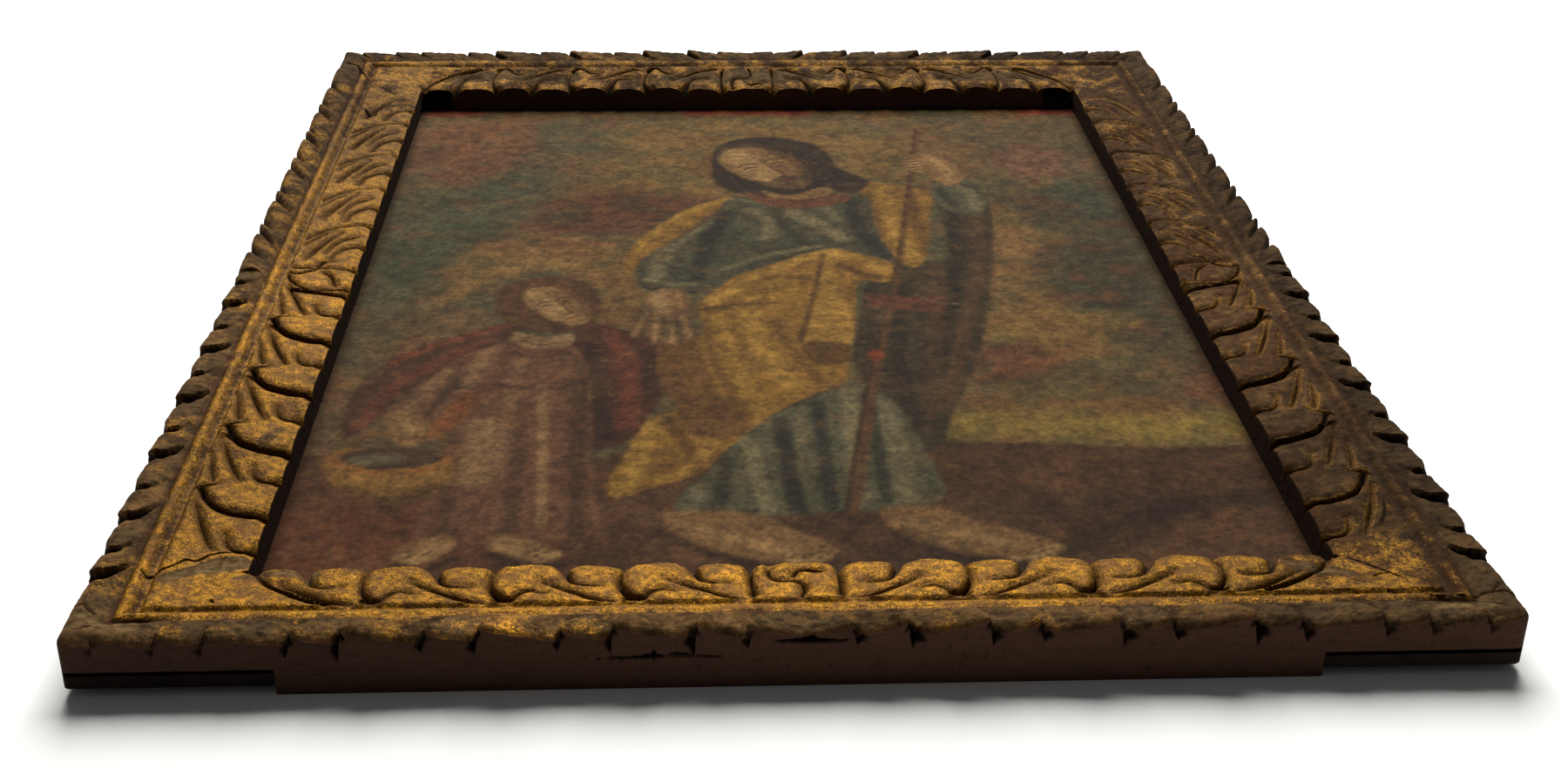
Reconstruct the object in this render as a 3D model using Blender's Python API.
"""A carved giltwood picture frame with its painted canvas, lying on its back.

Four rails are joined by laps at the corners. The long side rails end in thin tongues, which pass
under the ends of the top and bottom rails. The face of each rail carries three bands: a scalloped
outer edge, a plain fillet, and a run of curled leaves along the sight edge. The leaves grow both
ways from a small S-scroll near the middle of the rail. The canvas lies behind the rails.
"""

import bmesh
import bpy
import numpy as np
from mathutils import Vector

# Overall sizes in metres. The picture's top points to +Y, and its face to +Z.
OUTER_WIDTH = 0.420
OUTER_HEIGHT = 0.540
CROSS_RAIL_DEPTH = 0.0217
SIDE_RAIL_DEPTH = 0.0186
RAIL_WIDTH = 0.0443

# The lap joints.
TONGUE_WIDTH = 0.0590
TONGUE_THICKNESS = 0.0041
TONGUE_CLEARANCE = 0.0006
MITRE_GAP = 0.0006
JOINT_GAP = 0.0003

# The canvas, its lap behind the rails, and the pockets that show at the picture's upper corners.
CANVAS_THICKNESS = 0.0012
CANVAS_LAP = 0.0120
POCKET_DEPTH = 0.0120
POCKET_CEILING = 0.0104

# Widths and heights of the bands. A height is measured down from the top of the face.
SCALLOP_BAND = 0.0110
FILLET_BAND = 0.0074
FILLET_ARRIS = 0.0010
EDGE_FALL = 0.0014
BAND_GROOVE_FALL = 0.0046
FILLET_OUTER_FALL = 0.0034
FILLET_INNER_FALL = 0.0041
LEAF_TOP_FALL = 0.0054
SIGHT_FALL = 0.0087

# The leaf band. A pitch is the length of one leaf, and a curl is how its round end is drawn back.
SCROLL_HALF = 0.0124
SCROLL_CURL_SHARE = 0.18
CROSS_LEAF_PITCH = 0.0386
SIDE_LEAF_PITCH = 0.0425
LEAST_CORNER_LEAF = 0.0250
SIDE_SCROLL_OFFSET = -0.0135
LEAF_CROWN = 0.0021
LEAF_RISE = 0.0014
LEAF_ROUNDING = 0.0042

# The scallops. They come in pairs, and one notch of each pair is cut deeper than the other.
CROSS_SCALLOP_PITCH = 0.0382
SIDE_SCALLOP_PITCH = 0.0395
SCALLOP_START = 0.0150
DEEP_NOTCH = 0.0034
SHALLOW_NOTCH = 0.0022
NOTCH_SETBACK = 0.0018
SCALLOP_RISE = 0.0013
NOTCH_HEIGHT = 0.0060
LAST_NOTCH_TO_CORNER = 0.0130

# Where the carving lines stand along one leaf or one pair of scallops, as shares of the pitch.
LEAF_STATIONS = (0.00, 0.06, 0.22, 0.41, 0.48, 0.54, 0.72, 0.93)
LEAF_FOLLOW = (1.0, 1.0, 0.5, 0.0, 0.0, 0.1, 0.6, 1.0)
CORNER_SCALLOPS = ((0.0, 0.10), (0.06, 0.0), (0.36, 1.0), (0.41, 0.10), (0.47, 0.0), (0.95, 1.0))
SCROLL_STATIONS = (-0.75, -0.4, 0.0, 0.4, 0.75)
LEAF_ROWS = (0.90, 0.70, 0.45, 0.20, 0.0)

FACE = CROSS_RAIL_DEPTH
LEAF_BAND = RAIL_WIDTH - SCALLOP_BAND - FILLET_BAND
SIDE_UNDERSIDE = FACE - SIDE_RAIL_DEPTH
TONGUE_TOP = SIDE_UNDERSIDE + TONGUE_THICKNESS
CANVAS_TOP = SIDE_UNDERSIDE - JOINT_GAP
SIGHT_WIDTH = OUTER_WIDTH - 2 * RAIL_WIDTH
SIGHT_HEIGHT = OUTER_HEIGHT - 2 * RAIL_WIDTH


class Kind:
    """What differs between the cross rails and the side rails."""

    def __init__(self, length, sight, pitch, scallop_pitch, split, deep_first, curl, offset):
        self.half_length = length / 2
        self.half_sight = sight / 2
        self.pitch = pitch
        self.scallop_pitch = scallop_pitch
        self.split = split
        self.deep_first = deep_first
        self.curl = curl
        self.offset = offset

    def reach(self, way):
        """From the scroll's centre to the corner of the opening, towards + or - along the rail."""
        return self.half_sight - way * self.offset

    def leaves(self, way):
        room = self.reach(way) - SCROLL_HALF - LEAST_CORNER_LEAF
        return max(1, int(room / self.pitch))


CROSS = Kind(OUTER_WIDTH, SIGHT_WIDTH, CROSS_LEAF_PITCH, CROSS_SCALLOP_PITCH, 0.40, True, (1.02, 0.60, 0.42), 0.0)
SIDE = Kind(
    OUTER_HEIGHT, SIGHT_HEIGHT, SIDE_LEAF_PITCH, SIDE_SCALLOP_PITCH, 0.48, False, (1.0, 0.46, 0.0), SIDE_SCROLL_OFFSET
)


def curl_line(kind, share):
    """Where a leaf's round end lies, as a share of its pitch, at a share of the band from the sight edge."""
    end, bend, middle = kind.curl
    return end - bend * (np.minimum(share, 0.82) - middle) ** 2


def leaf_grooves(kind):
    """The cuts between the lobes of one leaf: points (along, across, depth), along and across as shares."""
    rows = (-0.05, 0.25, 0.50, 0.72, 0.88)
    crescent = [(float(curl_line(kind, v)), v, 0.0030 + 0.0008 * v) for v in rows]
    pit = (crescent[-1][0] - 0.07, 0.86)
    hook = [(0.50, -0.05, 0.0030), (0.48, 0.20, 0.0026), (0.41, 0.42, 0.0018), (0.24, 0.58, 0.0006)]
    vein = [(0.66, 0.44, 0.0006), (0.48, 0.62, 0.0014), (0.28, 0.82, 0.0018), (0.13, 0.94, 0.0020)]
    notch = [(*pit, 0.0036), (pit[0] - 0.06, 0.70, 0.0016), (pit[0] - 0.16, 0.66, 0.0006)]
    return [crescent, hook, vein, notch]


def scroll_grooves():
    """The S between the two commas of the scroll, and the slit in one of them, in half widths of the scroll."""
    s_line = [(-0.59, 0.0), (-0.54, 0.34), (-0.37, 0.48), (-0.08, 0.53), (0.14, 0.64), (0.17, 0.81), (0.06, 1.0)]
    slit = [(0.14, 0.22), (0.62, 0.26)]
    return [[(p, v, 0.0020) for p, v in s_line], [(p, v, 0.0026) for p, v in slit]]


def rail_grooves(kind):
    """Every cut of the leaf band: points (along, across, depth) in metres, along from the rail's middle."""
    found = []
    for line in scroll_grooves():
        found.append([(kind.offset + p * SCROLL_HALF, v * LEAF_BAND, d) for p, v, d in line])
    for way in (-1, 1):
        rows = (-0.05, 0.3, 0.6, 0.85)
        start_line = [(SCROLL_CURL_SHARE * (float(curl_line(kind, v)) - 1), v, 0.0028) for v in rows]
        start = SCROLL_HALF
        found.append([(kind.offset + way * (start + a * kind.pitch), v * LEAF_BAND, d) for a, v, d in start_line])
        count = kind.leaves(way)
        for i in range(count + 1):
            start = SCROLL_HALF + i * kind.pitch
            grooves = leaf_grooves(kind) if i < count else leaf_grooves(kind)[1:2]
            for line in grooves:
                points = [(start + a * kind.pitch, v * LEAF_BAND, d) for a, v, d in line]
                found.append([(kind.offset + way * s, t, d) for s, t, d in points if s < kind.reach(way)])
    if kind is CROSS:
        for way in (-1, 1):
            corner = way * kind.half_sight
            slit = [(0.003, 0.10, 0.0012), (0.012, 0.55, 0.0024), (0.027, 0.93, 0.0032)]
            found.append([(corner - way * back, v * LEAF_BAND, d) for back, v, d in slit])
    return [line for line in found if len(line) > 1]


def nearest_cut(points, lines, width):
    """For each point, its distance to the nearest cut, and how deep the cuts go there."""
    distance = np.full(len(points), 1.0)
    depth = np.zeros(len(points))
    for line in lines:
        for start, end in zip(line, line[1:]):
            a = np.array(start[:2])
            step = np.array(end[:2]) - a
            share = np.clip((points - a) @ step / (step @ step), 0, 1)
            away = np.linalg.norm(points - a - share[:, None] * step, axis=1)
            cut = (start[2] + (end[2] - start[2]) * share) * np.exp(-((away / width) ** 2))
            distance = np.minimum(distance, away)
            depth = np.maximum(depth, cut)
    return distance, depth


def ground_heights(across):
    """Heights of the leaf band with no cuts in it, at distances across from the sight edge."""
    slope = FACE - SIGHT_FALL + (SIGHT_FALL - LEAF_TOP_FALL) * across / LEAF_BAND
    return slope - 0.0012 * np.exp(-((across / 0.0030) ** 2))


def crown_heights(from_cut):
    return LEAF_CROWN * (1 - np.exp(-((from_cut / LEAF_ROUNDING) ** 2)))


def leaf_heights(kind, along, across):
    """Heights of the leaf band at points (along from the rail's middle, across from the sight edge)."""
    points = np.stack([along, across], axis=1)
    distance, depth = nearest_cut(points, rail_grooves(kind), 0.0016)
    crown = crown_heights(np.minimum(distance, LEAF_BAND - across + 0.0012))
    away = np.abs(along - kind.offset)
    turn = (away - SCROLL_HALF) / kind.pitch - (curl_line(kind, across / LEAF_BAND) - 1)
    way = np.where(along > kind.offset, 1, -1)
    count = np.where(way > 0, kind.leaves(1), kind.leaves(-1))
    in_leaf = (away > 0.5 * SCROLL_HALF) & (turn < count)
    rise = np.where(in_leaf, LEAF_RISE * (np.mod(turn, 1) - 0.5), 0)
    return ground_heights(across) + crown + rise - depth


def stations_one_way(kind, way):
    """For each carving line, (place along at each leaf row, place along at the outer edge, notch depth, rise)."""
    lines = []
    shares = np.array((1.0,) + LEAF_ROWS)
    drawn_back = curl_line(kind, shares) - 1
    count = kind.leaves(way)
    scallops = [(-0.02, 0.10), (0.06, 0.0), (0.20, 0.4), (kind.split - 0.03, 1.0)]
    scallops += [(kind.split, 0.10), (kind.split + 0.06, 0.0), (0.72, 0.6), (0.95, 1.0)]
    deep, shallow = (0, 4) if kind.deep_first else (4, 0)
    for i in range(count):
        for k, (share, follow) in enumerate(zip(LEAF_STATIONS, LEAF_FOLLOW)):
            curl = SCROLL_CURL_SHARE if i == 0 and k < 3 else 1.0
            leaf = SCROLL_HALF + (i + share + curl * follow * drawn_back) * kind.pitch
            if k in (3, 4, 5):
                leaf = leaf - 0.10 * kind.pitch * shares
            outer = SCALLOP_START + (i + scallops[k][0]) * kind.scallop_pitch
            notch = {deep: DEEP_NOTCH, shallow: SHALLOW_NOTCH}.get(k, 0.0)
            lines.append((leaf, outer, notch, scallops[k][1]))
    from_corner = np.array([SCALLOP_BAND + FILLET_BAND] + [RAIL_WIDTH - v * LEAF_BAND for v in LEAF_ROWS])
    mitre = kind.half_length - way * kind.offset - from_corner
    first = SCROLL_HALF + (count + drawn_back) * kind.pitch
    last_notch = kind.half_length - way * kind.offset - LAST_NOTCH_TO_CORNER
    places = []
    for i in range(count, count + 4):
        for k, (share, rise) in enumerate(CORNER_SCALLOPS):
            outer = SCALLOP_START + (i + share) * kind.scallop_pitch
            notch = {0: DEEP_NOTCH, 3: SHALLOW_NOTCH}.get(k, 0.0)
            if outer < last_notch:
                places.append((outer, notch, rise))
    for k, (outer, notch, rise) in enumerate(places):
        lines.append((first + k / len(places) * (mitre - first), outer, notch, rise))
    return lines


def face_rows():
    """(distance in from the outer edge, height) of the rows outside the leaf band, from the side face inwards."""
    inner = SCALLOP_BAND + FILLET_BAND
    return [
        (0.0, FACE - EDGE_FALL - NOTCH_HEIGHT),
        (0.0, FACE - EDGE_FALL),
        (0.28 * SCALLOP_BAND, FACE),
        (0.74 * SCALLOP_BAND, FACE - 0.45 * BAND_GROOVE_FALL),
        (SCALLOP_BAND, FACE - BAND_GROOVE_FALL),
        (SCALLOP_BAND + FILLET_ARRIS, FACE - FILLET_OUTER_FALL),
        (inner - FILLET_ARRIS, FACE - FILLET_INNER_FALL),
        (inner, FACE - LEAF_TOP_FALL),
    ]


def carved_grid(kind):
    """Points of the carved face, as rows across by stations along: (along, in from the edge, height)."""
    rows = face_rows()
    insets = [e for e, z in rows] + [RAIL_WIDTH - v * LEAF_BAND for v in LEAF_ROWS]
    columns = []
    for way in (-1, 1):
        for leaf, outer, notch, rise in stations_one_way(kind, way):
            columns.append((way, leaf, outer, notch, rise))
    below = [c for c in columns if c[0] < 0][::-1]
    middle = [(0, p * SCROLL_HALF, p * SCALLOP_START, DEEP_NOTCH if p == 0 else 0.0, 0.5) for p in SCROLL_STATIONS]
    above = [c for c in columns if c[0] > 0]
    grid = []
    for way, leaf, outer, notch, rise in below + middle + above:
        leaf = np.broadcast_to(leaf, len(LEAF_ROWS) + 1)
        sign = way if way else 1
        column = []
        for k, (e, z) in enumerate(rows):
            share = e / (SCALLOP_BAND + FILLET_BAND)
            along = kind.offset + sign * (outer + (leaf[0] - outer) * share**2)
            fade = max(0.0, 1 - e / SCALLOP_BAND) if k else 0.0
            height = z - notch * fade**0.5 - SCALLOP_RISE * (1 - rise) * fade
            set_in = e + (NOTCH_SETBACK * notch / DEEP_NOTCH if k == 1 else 0.0)
            column.append((along, set_in, height))
        along = kind.offset + sign * leaf[1:]
        across = np.array(LEAF_ROWS) * LEAF_BAND
        heights = leaf_heights(kind, along, across)
        column += list(zip(along, RAIL_WIDTH - across, heights))
        grid.append(column)
    return np.array(grid), insets


def rail_columns(kind):
    """Columns of a rail from one mitre to the other. Each end column lies on the mitre itself."""
    grid, insets = carved_grid(kind)
    across = np.array(LEAF_ROWS) * LEAF_BAND
    plain = ground_heights(across) + crown_heights(LEAF_BAND - across + 0.0012)
    heights = [z for e, z in face_rows()] + list(plain)
    columns = [list(map(tuple, column)) for column in grid]
    for way, at in ((-1, 0), (1, len(columns) + 1)):
        ends = [way * (kind.half_length - MITRE_GAP / 2 - e) for e in insets]
        columns.insert(at, list(zip(ends, insets, heights)))
    return columns


def rail_rings(kind, underside):
    """Each column of the face is closed into a ring: from the outer foot over the face to the inner foot."""
    rings = []
    for column in rail_columns(kind):
        foot = (column[0][0], 0.0, underside)
        toe = (column[-1][0], RAIL_WIDTH, underside)
        rings.append([foot] + column + [toe])
    return rings


def grow_tongue(shape, end):
    """The lower part of a mitred end is drawn out, first sideways into its shoulder, then to the rail's full length."""
    reach = SIDE.half_length
    mitre = reach - MITRE_GAP / 2
    heads = [
        face
        for face in shape.faces
        if all(abs(end * v.co.x + v.co.y - mitre) < 1e-5 and v.co.z < TONGUE_TOP + 1e-5 for v in face.verts)
    ]
    for outer_end, inner_end in ((reach - MITRE_GAP / 4, reach - RAIL_WIDTH), (reach, reach)):
        grown = bmesh.ops.extrude_face_region(shape, geom=heads)["geom"]
        bmesh.ops.delete(shape, geom=heads, context="FACES")
        heads = [item for item in grown if isinstance(item, bmesh.types.BMFace)]
        for vert in {v for face in heads for v in face.verts}:
            inner = vert.co.y > RAIL_WIDTH / 2
            vert.co.x = end * (inner_end if inner else outer_end)
            vert.co.y = TONGUE_WIDTH if inner else 0.0


def solid_from_rings(name, rings, place, tongues=()):
    """A grid is wrapped round the rail, its seam is welded, its two ends are filled, and any tongues are grown."""
    around = len(rings[0])
    mesh = bpy.data.meshes.new(name)
    shape = bmesh.new()
    bmesh.ops.create_grid(shape, x_segments=around, y_segments=len(rings) - 1, size=1.0)
    shape.verts.ensure_lookup_table()
    for index, vert in enumerate(shape.verts):
        station, step = divmod(index, around + 1)
        vert.co = rings[station][step % around]
    seam = [v for v in shape.verts if v.is_boundary]
    bmesh.ops.remove_doubles(shape, verts=seam, dist=1e-6)
    bmesh.ops.holes_fill(shape, edges=[e for e in shape.edges if e.is_boundary], sides=0)
    if tongues:
        everything = shape.verts[:] + shape.edges[:] + shape.faces[:]
        bmesh.ops.bisect_plane(shape, geom=everything, plane_co=(0, 0, TONGUE_TOP), plane_no=(0, 0, 1))
    for end in tongues:
        grow_tongue(shape, end)
    for vert in shape.verts:
        vert.co = place(vert.co)
    bmesh.ops.recalc_face_normals(shape, faces=shape.faces[:])
    if shape.calc_volume(signed=True) < 0:
        bmesh.ops.reverse_faces(shape, faces=shape.faces[:])
    shape.to_mesh(mesh)
    shape.free()
    made = bpy.data.objects.new(name, mesh)
    frame_parts.objects.link(made)
    return made


def tool_box(name, one, other):
    """A box between two opposite corners, which only cuts."""
    low = [min(pair) for pair in zip(one, other)]
    high = [max(pair) for pair in zip(one, other)]
    shape = bmesh.new()
    bmesh.ops.create_cube(shape, size=1.0)
    size = Vector(high) - Vector(low)
    middle = (Vector(high) + Vector(low)) / 2
    for vert in shape.verts:
        vert.co = Vector(c * s for c, s in zip(vert.co, size)) + middle
    mesh = bpy.data.meshes.new(name)
    shape.to_mesh(mesh)
    shape.free()
    tool = bpy.data.objects.new(name, mesh)
    tool.hide_render = True
    tool.display_type = "WIRE"
    tools.objects.link(tool)
    return tool


def cut(solid, tool):
    modifier = solid.modifiers.new(tool.name, "BOOLEAN")
    modifier.operation = "DIFFERENCE"
    modifier.object = tool


def make_material(name, color, roughness, metallic):
    material = bpy.data.materials.new(name)
    material.use_nodes = True
    shader = material.node_tree.nodes["Principled BSDF"]
    shader.inputs["Base Color"].default_value = (*color, 1.0)
    shader.inputs["Roughness"].default_value = roughness
    shader.inputs["Metallic"].default_value = metallic
    return material


def make_cross_rail(name, way, material):
    """way is -1 for the bottom rail and +1 for the top rail."""

    def place(point):
        along, inset, height = point
        return Vector((along, way * (OUTER_HEIGHT / 2 - inset), height))

    rail = solid_from_rings(name, rail_rings(CROSS, 0.0), place)
    rail.data.materials.append(material)
    past = 0.01
    inner = OUTER_HEIGHT / 2 - RAIL_WIDTH
    outside = way * (OUTER_HEIGHT / 2 + past)
    lap_roof = TONGUE_TOP + TONGUE_CLEARANCE
    for side, word in ((-1, "left"), (1, "right")):
        shoulder = side * (OUTER_WIDTH / 2 - TONGUE_WIDTH - JOINT_GAP)
        beyond = side * (OUTER_WIDTH / 2 + past)
        lap = tool_box(f"{name}_{word}_lap", (shoulder, way * (inner - past), -past), (beyond, outside, lap_roof))
        cut(rail, lap)
        if way > 0:
            wall = side * SIGHT_WIDTH / 2
            low = (shoulder, inner - past, TONGUE_TOP - past)
            high = (wall, inner + POCKET_DEPTH, FACE - POCKET_CEILING)
            cut(rail, tool_box(f"{name}_{word}_pocket", low, high))
    half = OUTER_WIDTH / 2 + past
    low = (-half, way * (inner - past), -past)
    high = (half, way * (inner + CANVAS_LAP + JOINT_GAP), CANVAS_TOP + JOINT_GAP)
    cut(rail, tool_box(f"{name}_rebate", low, high))
    return rail


def make_side_rail(name, way, material):
    """way is -1 for the left rail and +1 for the right rail."""

    def place(point):
        along, inset, height = point
        return Vector((way * (OUTER_WIDTH / 2 - inset), along, height))

    rail = solid_from_rings(name, rail_rings(SIDE, SIDE_UNDERSIDE), place, tongues=(-1, 1))
    rail.data.materials.append(material)
    return rail


def make_canvas(material):
    """The painted cloth, which laps behind all four rails."""
    bpy.ops.mesh.primitive_cube_add(size=1.0, location=(0, 0, CANVAS_TOP - CANVAS_THICKNESS / 2))
    canvas = bpy.context.object
    canvas.name = "painted_canvas"
    canvas.data.name = "painted_canvas"
    canvas.scale = (SIGHT_WIDTH + 2 * CANVAS_LAP, SIGHT_HEIGHT + 2 * CANVAS_LAP, CANVAS_THICKNESS)
    bpy.context.view_layer.update()
    bpy.ops.object.transform_apply(location=False, rotation=False, scale=True)
    for collection in list(canvas.users_collection):
        collection.objects.unlink(canvas)
    frame_parts.objects.link(canvas)
    canvas.data.materials.append(material)
    return canvas


for old in list(bpy.data.objects):
    bpy.data.objects.remove(old, do_unlink=True)

frame_parts = bpy.data.collections.new("framed_painting")
bpy.context.scene.collection.children.link(frame_parts)
tools = bpy.data.collections.new("framed_painting_tools")
bpy.context.scene.collection.children.link(tools)

bright_gilding = make_material("bright_gilding", (0.45, 0.26, 0.06), 0.5, 0.4)
dull_gilding = make_material("dull_gilding", (0.24, 0.15, 0.06), 0.6, 0.25)
old_paint = make_material("old_paint", (0.25, 0.20, 0.12), 0.55, 0.0)

make_cross_rail("bottom_rail", -1, bright_gilding)
make_cross_rail("top_rail", 1, dull_gilding)
make_side_rail("left_rail", -1, bright_gilding)
make_side_rail("right_rail", 1, dull_gilding)
make_canvas(old_paint)
